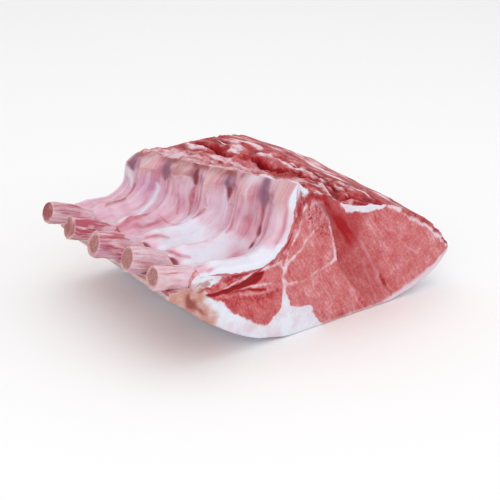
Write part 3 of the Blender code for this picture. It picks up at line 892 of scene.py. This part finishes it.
def rack_marks(at, share, y, home):
    """The cut face's marks on and just behind the two cut faces, and the marks of the upper and
    lower side elsewhere, mixed by the share of the thickness."""
    place = along_rack(home, y)
    drift = smooth((y - NEAR_Y) / 60.0)
    x = home[..., 0] + 4 * drift * noise(place, 22.0, 61)
    z = home[..., 1] + 3 * drift * noise(place, 22.0, 62)
    face, above, below = cut_face(x, z), back(at, y), outside(at, y)
    # The painted shade of the step and of the crevices fades out behind the near face.
    face["deep"] = face["deep"] * (1 - 0.7 * drift)
    face["marbled"] = face["marbled"] * (1 - 0.4 * drift)
    on_face = smooth(1.25 - np.minimum(y - NEAR_Y, FAR_Y - y) / 1.3)
    marks = {}
    for name, value in face.items():
        front, depth = (on_face[:, None], share[:, None]) if name == "grain" else (on_face, share)
        marks[name] = value * front + (above[name] * (1 - depth) + below[name] * depth) * (1 - front)
    return marks


def rack_block(name, first_share, last_share, layers, node, body_slot):
    """One block of the rack, between two shares of its thickness that may change with (at, y)."""
    grid, quads = shell((len(ACROSS), layers, len(ALONG)))
    at, y = ACROSS[grid[:, 0]], ALONG[grid[:, 2]]
    start, end = first_share(at, y), last_share(at, y)
    share = start + (end - start) * grid[:, 1] / (layers - 1)
    points, home = rack_points(at, share, y)
    return make_piece(name, points, quads, rack_marks(at, share, y, home), pork, body_slot, node)


MEAT_LAYERS, FAT_LAYERS = 56, 12
meat = rack_block("pork_meat", lambda at, y: 0 * at, fat_start, MEAT_LAYERS, "loin_meat", "meat")
fat_cap = rack_block("pork_fat_cap", fat_start, lambda at, y: 0 * at + 1, FAT_LAYERS, "fat_cap", "fat")

# %% [markdown]
# ## The lining of the chest
# A thin wet membrane covers the hollow, over the ribs and the meat between them. It is white
# and glossy on the floor, where fat lies under it, rosy and lilac over the far ribs, and creamy
# over the rib heads. Between the rib heads, grey-violet painted shade darkens the hollows, and
# dark red blood shows through between the ribs. A brown painted shadow runs under the ridge's
# edge. The membrane was pushed back off the rib tips, and it runs out thin at its free edge.

# %% Marks of the lining
# Painted shade: grey-violet in the hollows of the wall between the rib heads.
GREY_HOLLOW_SHADES = tuple(
    on_top((top, y + 0.5, 6), (top - 0.6, y, 8), (low + 0.3, y - 0.5, 6.5), (low, y - 0.5, 3))
    for y, top, low in ((64, 8.6, 7.3), (36, 8.7, 7.4), (8, 8.85, 7.7), (-20, 8.85, 7.9), (-47, 8.6, 7.5))
)
BLOOD_STREAKS = (
    on_top((7.6, -47, 4), (7, -47.6, 3), (6.5, -48, 2), (6.2, -48.4, 3.4), (5.9, -49, 3.6),
           (5.6, -49.4, 1.2), (5.35, -49.8, 2.6), (5.05, -50, 2.6), (4.85, -50.4, 0.8)),
    on_top((7.9, -20, 5), (7.5, -19.6, 3.5), (7.1, -19, 1)),
    on_top((7.7, 8, 3), (7.3, 8.6, 2), (6.9, 10, 3), (6.4, 10.4, 3.6), (5.9, 9.6, 2.4), (5.3, 8.4, 1)),
    on_top((7.4, 36, 3), (7.1, 36.6, 1)),
    on_top((6.0, -8.6, 1), (5.7, -8, 1.8), (5.3, -7, 1.8), (4.8, -6, 1)),
    on_top((6.4, -33.4, 0.8), (6, -34, 1.6), (5.6, -34.3, 2), (5.05, -35, 1.6), (4.8, -35.4, 0.6)),
    on_top((2.6, 47, 1), (3, 49, 3.5), (3.8, 52, 5), (4.6, 56, 5.5), (5.3, 59, 4), (5.9, 60, 1.5)),
    on_top((2.0, 17.5, 2), (2.3, 18, 3.5), (2.8, 19.8, 4), (3.3, 20.5, 3.4), (3.8, 22, 1)),
    on_top((2.0, -7.5, 1.6), (2.2, -9, 2), (2.6, -11, 1.6), (3, -13, 0.6)),
    on_top((2, -20, 0.8), (2.1, -27, 1.6), (2.15, -34, 2), (2.3, -39, 2), (2.6, -42, 1)),
)
DARK_BLOOD = (
    on_top((1.9, -40.5, 2), (1.95, -43, 5), (2.05, -46, 2)),
    on_top((2.0, -13, 2), (2.02, -15.5, 3), (2.05, -17.5, 1)), on_top((6.2, -48.4, 1.6), (5.9, -49, 2)),
    on_top((5.2, -49.9, 1.6), (5, -50, 1.8)), on_top((3.3, 50.4, 1.5), (4.2, 54, 2.6), (5, 58, 1.6)),
    on_top((7.75, -20, 3), (7.4, -19.6, 1.5)), on_top((8.5, 9, 2.4), (8.1, 9, 3.4), (7.6, 9, 1.4)),
)
FAINT_LINES = (
    on_top((2.3, -69, 1.5), (2.9, -67, 2), (3.4, -62, 2.4), (4.1, -55, 3), (4.5, -52, 2)),
    on_top((8.3, -9, 0.8), (7.2, -8, 0.9), (6.3, -8.5, 0.8)),
    on_top((8.3, -34, 0.8), (7.3, -33, 1), (6.4, -33.4, 1)),
    on_top((8.2, 17, 0.7), (7.2, 18, 0.9), (6.1, 17, 1), (5, 14, 1.2)),
    on_top((7.6, 28, 0.7), (6.8, 24, 0.8), (6, 25, 0.9)),
    on_top((2.6, 30, 0.8), (3.6, 24, 1), (4.2, 14, 1.1), (4.6, 2, 1), (4.9, -8, 0.8)),
    on_top((2.3, 2, 0.8), (3, -8, 1), (3.4, -20, 1), (3.6, -34, 0.8)),
    on_top((7.9, -5, 0.6), (7.7, 4, 0.7)), on_top((7.5, 12, 0.6), (7.4, 20, 0.7)),
    on_top((7.0, -30, 0.6), (6.9, -20, 0.7)),
)
WHITE_ARCS = (
    on_top((6.7, 41, 1), (6.45, 40.5, 2.2), (5.9, 40, 2.4), (5.3, 40, 2.4), (4.6, 39, 2), (3.6, 37, 1)),
    on_top((7.4, 67, 1), (6.8, 66, 2), (6.2, 64.5, 2.4), (5.6, 63, 1)),
    on_top((4.6, 30, 1), (3.9, 27, 2.6), (3, 24, 3), (2.3, 22, 2)),
)


def pulled(at, y):
    """Places for noise on the membrane: as it lies, and drawn along the rack by a slow warp,
    which is given too."""
    place = flat(span(at), y)
    warp = 0.9 * noise(place, 9.0, 71, 2)
    return place, warp, flat(span(at), y + warp)


def hollow(at, share, y):
    """Marks of the lining. Broad fields come from smooth steps in the outline point and along
    the rack, and fine ones from noise stretched along the ribs, since the membrane is pulled
    tight that way. raw is the margin, in shares of the thickness, inside the ragged fringe of
    lean that stuck to the inner side of its near cut edge."""
    u = span(at)
    place, warp, drawn = pulled(at, y)
    fine_fibre = noise(drawn, (26.0, 2.0, 9.0), 72, 2)
    fibre = noise(drawn, (34.0, 5.0, 9.0), 78, 2)
    cloud = noise(place, (16.0, 11.0, 9.0), 73, 3)
    wave = rib_wave(y + 0.8 * warp)
    wall = smooth((at - 5.2) / 1.2)
    pink = hump((at - 4.1) / 0.9) * hump((y + 50 - 7 * (at - 4.1)) / 7)
    floor = smooth((at - 1.9) / 0.6) * smooth((5.75 - at) / 1.1) * smooth((14 - y) / 22) * (1 - 0.8 * pink)
    rim = smooth((-68.4 - y + 0.3 * fine_fibre + 0.9 * cloud) / 1.6) * (0.95 + 0.3 * cloud)
    rim = np.clip(rim + 0.8 * smooth((y - 68) / 1.5), 0, 1)
    white = 1.25 * floor + 0.2 * fine_fibre + 0.3 * fibre + 0.75 * cloud - 0.25 - 0.1 * wall
    white += 0.3 * hump((at - 4.7) / 0.7) * hump((y + 25) / 14) - 0.85 * hump((at - 2.05) / 0.45)
    white = np.maximum.reduce([
        np.clip(white, 0, 1) * (0.92 - 0.45 * wall) * (1 - 0.9 * pink),
        0.9 * smooth(strokes(u, y + warp, WHITE_ARCS) / 2.6 + 0.6),
        0.35 * smooth((fine_fibre - 0.4) / 0.3),
        0.75 * smooth((at - 8.45) / 0.3) * hump((y + 40) / 13) * (0.9 + 0.4 * cloud),
        rim,
    ])
    rib_edge = hump((wave - 0.42) / 0.26) * (1 - floor)
    rose = 0.5 * rib_edge * (0.4 + 0.9 * fibre) + smooth(-1.6 * fine_fibre - 0.35) * (0.12 + 0.2 * wall)
    rose = rose + 0.9 * pink + 0.45 * (1 - wave) * smooth((at - 4.8) / 1.5) * smooth(0.4 + cloud)
    rose = np.clip(rose, 0, 1) * (1 - 0.7 * floor)
    vessels = 0.6 * smooth(strokes(u + warp, y + warp, FAINT_LINES) + 0.6)
    vessels *= smooth(0.6 + 1.3 * noise(place, 8.0, 79, 2))
    grey = smooth((strokes(u, y + warp, GREY_HOLLOW_SHADES) + 2.2) / 4.0)
    # Painted shadow: a brown line under the overhanging edge of the ridge, weaker over the ribs.
    shadow = smooth((at - 8.5) / 0.3) * (1 - 0.55 * wave) * smooth((y + 40) / 14)
    blotches = 0.55 * smooth(2.2 * noise(place, (7.0, 7.0, 9.0), 75, 3) - 0.5)
    blotches = blotches * smooth((at - 7.4) / 0.7) * (1 - rim)
    return {
        "white": white,
        "rose": rose * (1 - 0.9 * rim),
        "blush": np.clip(0.45 + 0.55 * cloud + 0.5 * fibre + 0.25 * smooth((y - 5) / 30), 0, 1),
        "lilac": hump((at - 6.2) / 0.9) * hump((y - 44) / 13) * (0.8 + 0.5 * cloud),
        "cream": smooth((at - 6.9) / 1.2) * (0.3 + 0.7 * wave) * (0.85 + 0.4 * cloud) * (1 - rim),
        "grey": grey * np.clip(0.85 + 0.6 * fine_fibre, 0, 1),
        "blood": np.maximum(smooth((strokes(u, y + warp, BLOOD_STREAKS) + 1.2) / 2.2), vessels),
        "dark": smooth(strokes(u, y + warp, DARK_BLOOD) / 1.8 + 0.7),
        "brown": np.clip(shadow * (0.9 + 0.8 * noise(place, 4.0, 74, 2)) + blotches, 0, 1),
        "fibre": fine_fibre + 0.5 * fibre,
        "raw": np.where(y < NEAR_Y + 0.01, share - 0.62 - 0.28 * noise(place, 4.5, 77, 3), -1.0),
        "grain": np.stack([0.07 * u, y + warp, 0 * y], -1),
    }


# %% Wet membrane
def wet_membrane():
    """Pleura over fat and bone: smooth, milky, slippery and very glossy, with the colour of
    what lies under it showing through."""
    material, tree, mark = new_material(
        "wet_chest_membrane",
        "white", "rose", "blush", "lilac", "cream", "grey", "blood", "dark", "brown", "fibre", "raw", "grain",
    )
    where = add(tree, "TexCoord", out="Object")
    threads, cloud, fine_noise = (
        add(tree, "TexNoise", {"Vector": vector, "Scale": scale, "Detail": detail, "Roughness": rough})
        for vector, scale, detail, rough in (
            (mark["grain"], 1 / 1.1, 4.0, 0.6),
            (where, per_mm(5.0), 5.0, 0.65),
            (where, per_mm(1.6), 3.0, 0.6),
        )
    )
    # Redness is broken up by fine noise, so no mark has an even colour.
    broken = {}
    for name, cut in (("blush", 0.5), ("blood", 0.55), ("lilac", 0.5)):
        scaled = add(tree, "MapRange", {"Value": cloud, "From Min": 0.25, "From Max": 0.7, "To Min": 1 - cut})
        broken[name] = add(tree, "Math", {0: mark[name], 1: scaled}, operation="MULTIPLY")
    dark_thread, pale_thread, raw, roughness = (
        add(tree, "MapRange", {
            "Value": value, "From Min": low, "From Max": high, "To Min": least, "To Max": most
        })
        for value, low, high, least, most in (
            (threads, 0.5, 0.3, 0, 0.24),
            (threads, 0.54, 0.72, 0, 0.3),
            (mark["raw"], -0.05, 0.05, 0, 1),
            (cloud, 0, 1, 0.18, 0.42),
        )
    )
    base = layered(
        tree, "#e4c4d3",
        (broken["blush"], "#d592a8"),
        (broken["lilac"], "#cf97c4"),
        (mark["cream"], "#d3a3a6"),
        (dark_thread, "#cb8095"),
        (mark["rose"], "#c4607a"),
        (mark["white"], "#e2e4f0"),
        (pale_thread, "#efe4ee"),
        (broken["blood"], "#b63f55"),
        # grey is painted shade in the hollows between the rib heads.
        (mark["grey"], "#8d5a74"),
        (mark["dark"], "#86202f"),
        # brown is a painted shadow under the ridge's edge, with brown blotches of the membrane's own.
        (mark["brown"], "#96453f"),
        (raw, layered(tree, "#a83b42", (fine_noise, "#d38187"))),
    )
    height = add(tree, "Math", {0: fine_noise, 1: 0.6, 2: mark["fibre"]}, operation="MULTIPLY_ADD")
    height = add(tree, "Math", {0: threads, 1: 1.2, 2: height}, operation="MULTIPLY_ADD")
    to_shader(tree, base, roughness, height, 0.35, 0.4, {
        "IOR": 1.4, "Subsurface Weight": 0.25, "Subsurface Scale": 2.5 * MM,
        "Subsurface Radius": (1.0, 0.5, 0.45), "Coat Weight": 0.5, "Coat Roughness": 0.12,
    })
    return material


membrane = wet_membrane()

# %% Lining mesh
LINING_THICKNESS, LINING_SINK = 2.5, 0.4  # mm; the sink is into the meat
LINING_LAYERS = 4


def lining_points(at, share, y):
    """Points of the lining in mm: the upper side, moved out by its thickness. It rises over
    each rib, runs out thinly onto the bared bones, and slips under the ridge. share is 0 on
    the open side and 1 on the side of the ribs, where it sinks a little into the meat."""
    place, _, drawn = pulled(at, y)
    from_lip, from_ridge = span(at) - span(LIP), span(RIDGE) - span(at)
    body = smooth(from_lip / 10.0) * smooth(from_ridge / 5.0)
    thickness = (LINING_THICKNESS + 1.4 * hump((at - 7.3) / 1.3)) * body
    rise = 1.8 * rib_wave(y) ** 2 * body
    folds = 0.22 * noise(drawn, (26.0, 2.6, 9.0), 72, 2) + 0.32 * noise(drawn, (34.0, 6.0, 9.0), 78, 2)
    folds = folds * (0.4 + 0.6 * body) + 0.3 * noise(place, 9.0, 76, 2)
    off = (1 - share) * (0.35 + thickness + rise + folds - 0.9 * edge_drop(y)) - LINING_SINK * share
    section = upper(at, y) + outward(at, y) * off[..., None]
    return along_rack(section - (ORIGIN_X, 0), y + step_depth(section, y))


hollow_across = even_across(LIP, RIDGE, 130)
hollow_along = lengths(268)
grid, quads = shell((len(hollow_across), LINING_LAYERS, len(hollow_along)))
at, y = hollow_across[grid[:, 0]], hollow_along[grid[:, 2]]
share = grid[:, 1] / (LINING_LAYERS - 1)
lining = make_piece(
    "chest_lining_skin", lining_points(at, share, y), quads, hollow(at, share, y), membrane,
    "lining", "chest_lining",
)

# %% [markdown]
# ## The rib bones
# Frenching scrapes the last centimetres of each rib clean. What stays is a flattish bone with
# shreds of pink membrane on it, sawn off square: the end shows a thin pale shell round a brown,
# spongy middle. Each bone is a ring carried along the rib's middle line.

# %% Scraped bone
RIB_TIP_X = (-69.0, -65.5, -68.0, -65.5, -62.5)
RIB_THICKNESS = (12.6, 14.0, 14.2, 13.0, 12.4)
RIB_WIDTH, RIB_TIP_Z = 11.0, 53.0
RIB_REDNESS = (0.35, 0.4, 0.8, 0.9, 0.7)  # how much red membrane is left on each bone
END_REDNESS = (0.1, 0.15, 0.25, 0.6, 0.9)  # how bloody its sawn end is


def scraped_bone():
    """Living bone is pinkish ivory under its torn membrane, with red streaks along it; the sawn
    end is brown marrow sponge with fine pores."""
    material, tree, mark = new_material(
        "scraped_rib_bone", "streak", "violet", "sleeve", "marrow", "rim", "stain", "grain"
    )
    where = add(tree, "TexCoord", out="Object")
    cloud = add(tree, "TexNoise", {"Vector": where, "Scale": per_mm(4.0), "Detail": 4.0, "Roughness": 0.65})
    pores = add(tree, "TexVoronoi", {"Vector": where, "Scale": per_mm(0.9)})
    speck = add(tree, "TexNoise", {"Vector": where, "Scale": per_mm(1.0), "Detail": 3.0})
    fibres = {"Vector": mark["grain"], "Scale": 1 / 1.3, "Detail": 4.0, "Roughness": 0.65}
    threads = add(tree, "TexNoise", fibres)
    reddened = add(tree, "Math", {0: threads, 1: -2.2, 2: mark["streak"]}, operation="MULTIPLY_ADD")
    pale_thread, red_thread, roughness = (
        add(tree, "MapRange", {
            "Value": value, "From Min": low, "From Max": high, "To Min": least, "To Max": most
        })
        for value, low, high, least, most in (
            (threads, 0.55, 0.7, 0, 0.75), (reddened, -1.0, -0.35, 0, 1), (cloud, 0, 1, 0.32, 0.6)
        )
    )
    base = layered(
        tree, "#e2cdd6",
        (cloud, "#cf9aa4"),
        (mark["violet"], "#c48bb0"),
        (red_thread, "#b4485a"),
        (mark["sleeve"], "#dfc0cf"),
        (pale_thread, "#e8dbe3"),
        (mark["rim"], "#d6adab"),
        (mark["marrow"], layered(tree, "#8e4a47", (pores, "#c08884"))),
        (mark["stain"], "#93343a"),
    )
    to_shader(tree, base, roughness, speck, 0.4, 0.4, {
        "IOR": 1.45, "Subsurface Weight": 0.12, "Subsurface Scale": 1.5 * MM,
        "Subsurface Radius": (1.0, 0.4, 0.35), "Coat Weight": 0.3, "Coat Roughness": 0.2,
    })
    return material


bone_finish = scraped_bone()


# %% Bone meshes
HEAD_THICKNESS = 7.0  # mm, of every rib at its head


def rib_line(rib):
    """The rib's middle line as (x, z) and its thickness at each point of it, from its head
    under the ridge to its sawn tip, as in the solids."""
    at = np.linspace(RIB_HEAD, LIP, 9)
    y = np.full_like(at, FIRST_RIB_Y + RIB_PITCH * rib)
    toward_head = smooth((at - 6.0) / (RIB_HEAD - 6.0))
    thickness = RIB_THICKNESS[rib] * (1 - toward_head) + HEAD_THICKNESS * toward_head
    proud = 0.9 * (1 - 0.6 * toward_head)
    buried = upper(at, y, False) - outward(at, y) * (thickness / 2 - proud)[:, None]
    tip = np.array([RIB_TIP_X[rib], RIB_TIP_Z])
    bend = (buried[-1] + tip) / 2 + (0, 0.6)
    return np.vstack([buried, bend, tip]), np.append(thickness, [RIB_THICKNESS[rib]] * 2)


SIDES, BURIED_RINGS, SHAFT_RINGS, END_RINGS = 56, 15, 96, 12


def make_bone(rib):
    """Ellipses square to the middle line, uneven by noise, closed at the tip by rings that
    shrink to the middle. The other end, inside the meat, shrinks to a small ring that stays open."""
    line, thickness = rib_line(rib)
    rib_y, redness = FIRST_RIB_Y + RIB_PITCH * rib, RIB_REDNESS[rib]
    last = len(line) - 1
    # Few rings where the bone is buried, many where it is bare.
    bare = last - 2.6
    buried = np.linspace(0, bare, BURIED_RINGS + 1)[:-1]
    along = np.concatenate([buried, np.linspace(bare, last, SHAFT_RINGS - BURIED_RINGS)])
    middle = curve(line, along)
    half = np.interp(along, np.arange(last + 1), thickness) / 2
    run = np.gradient(middle, axis=0)
    run /= np.linalg.norm(run, axis=1, keepdims=True)
    side = np.stack([-run[:, 1], run[:, 0]], 1)
    # End rings: 1 at the rim of the sawn face, 0 at its middle.
    inner = np.linspace(1, 0, END_RINGS + 1)[1:]
    size = np.concatenate([np.ones(SHAFT_RINGS), inner])
    ring = np.concatenate([np.arange(SHAFT_RINGS), np.full(END_RINGS, SHAFT_RINGS - 1)])
    start = 1 - np.linspace(1, 0, 4) ** 2
    size[:4] = np.maximum(start, 0.02)
    size[SHAFT_RINGS - 3 : SHAFT_RINGS] = 0.99, 0.96, 0.9
    angle = 2 * math.pi * np.arange(SIDES) / SIDES
    r, a = np.meshgrid(np.arange(len(size)), angle, indexing="ij")
    ring, size = ring[r], size[r]
    up, out = np.cos(a) * half[ring] * size, np.sin(a) * RIB_WIDTH / 2 * size
    place = along_rack(middle[ring] + side[ring] * up[..., None], rib_y + out)
    long = np.stack([place[..., 0], 6 * np.cos(a), 6 * np.sin(a) + 40 * rib], -1)
    uneven = 0.45 * noise(long, (16.0, 3.0, 3.0), 81, 3) + 0.35 * noise(place, 6.0, 82, 2)
    on_end = (r >= SHAFT_RINGS).astype(float)
    uneven *= smooth((SHAFT_RINGS + 1 - r) / 4) * (1 - on_end)
    up, out = up + np.cos(a) * uneven * np.sign(size), out + np.sin(a) * uneven * np.sign(size)
    pit = on_end * np.maximum(0.5 * smooth((1 - size) / 0.25) + 0.35 * noise(place, 1.6, 83, 2), 0)
    section = middle[ring] + side[ring] * up[..., None]
    section[..., 0] += pit
    points = along_rack(section - (ORIGIN_X, 0), rib_y + out).reshape(-1, 3)
    count = len(r)
    index = np.arange(count * SIDES).reshape(count, SIDES)
    after = np.roll(index, -1, axis=1)
    quads = np.stack([index[:-1], index[1:], after[1:], after[:-1]], -1).reshape(-1, 4)
    stripes = noise(long, (40.0, 3.0, 3.0), 84, 2)
    under = smooth(0.5 - 0.9 * np.cos(a))
    streak = 0.55 * stripes + 0.35 * under * redness + 0.5 * redness - 0.1
    marks = {
        "streak": streak * (1 - on_end) - on_end,
        "violet": smooth(1.6 * noise(long, (22.0, 4.5, 4.5), 85, 2) - 0.3) * (1 - on_end) * 0.7,
        "sleeve": 0.85 * smooth((60 - r + 22 * stripes + 14 * noise(place, 4.0, 87, 2)) / 14) * (1 - on_end),
        "marrow": smooth((0.86 - size) / 0.2 + 0.9 * noise(place, 3.0, 86, 2)) * on_end,
        "stain": END_REDNESS[rib] * smooth(0.7 + 1.4 * noise(place, 3.5, 89, 2)) * on_end,
        "rim": np.maximum(on_end, smooth((r - SHAFT_RINGS + 4) / 3.0) * 0.5),
        "grain": np.stack([0.1 * long[..., 0], long[..., 1], long[..., 2]], -1),
    }
    name = f"rib_{rib + 1}"
    marks = {k: v.reshape(-1, 3) if k == "grain" else v.ravel() for k, v in marks.items()}
    return make_piece(name, points, quads, marks, bone_finish, "bone", f"rib_bone_{rib + 1}")


bones = [make_bone(rib) for rib in range(len(RIB_TIP_X))]

# %% [markdown]
# ## Floor, light and camera
# A rack for a catalogue stands on white paper under large soft lamps. The camera looks at the
# near cut face from the left and a little above, from 80 cm away.

# %% Studio
paper, paper_tree, _ = new_material("matt_white_paper")
paper_shader = paper_tree.nodes["Principled BSDF"]
grain = add(paper_tree, "TexNoise", {"Scale": 40.0, "Detail": 2.0})
paper_tree.links.new(layered(paper_tree, "#fbfbfb", (grain, "#f7f7f8")), paper_shader.inputs["Base Color"])
paper_shader.inputs["Roughness"].default_value = 0.9

floor_mesh = bpy.data.meshes.new("floor")
floor_mesh.from_pydata([(-60, -60, 0), (60, -60, 0), (60, 60, 0), (-60, 60, 0)], [], [(0, 1, 2, 3)])
floor_mesh.materials.append(paper)
floor = into_scene("floor", floor_mesh)


def aim_at(holder, place, aim):
    """Puts a lamp or a camera in its place and turns it to what it looks at."""
    holder.location = place
    holder.rotation_euler = (Vector(aim) - Vector(place)).to_track_quat("-Z", "Y").to_euler()


for name, place, aim, size, power in (
    ("overhead", (0.0, 0.1, 1.1), (0.0, 0.0, 0.0), 1.2, 2.6),
    ("front_left", (-0.9, -0.9, 0.8), (0.0, 0.0, 0.03), 0.9, 3.2),
    ("front_right", (0.6, -1.1, 0.5), (0.0, 0.0, 0.03), 0.9, 1.6),
):
    lamp = bpy.data.lights.new(name, "AREA")
    lamp.energy, lamp.size = power, size
    aim_at(into_scene(name, lamp), place, aim)

world = bpy.data.worlds.new("studio")
world.use_nodes = True
sky = world.node_tree.nodes["Background"]
sky.inputs["Color"].default_value = (1, 1, 1, 1)
sky.inputs["Strength"].default_value = 0.8
bpy.context.scene.world = world
bpy.context.scene.view_settings.view_transform = "Standard"

CAMERA_AT, CAMERA_AIM = (-0.44713, -0.58450, 0.32047), (0.00954, 0.0, 0.02079)
lens = bpy.data.cameras.new("camera")
lens.lens, lens.sensor_width = 99.648, 36.0
camera = into_scene("camera", lens)
aim_at(camera, CAMERA_AT, CAMERA_AIM)
bpy.context.scene.camera = camera
print("camera distance:", round((Vector(CAMERA_AIM) - Vector(CAMERA_AT)).length, 3), "m")
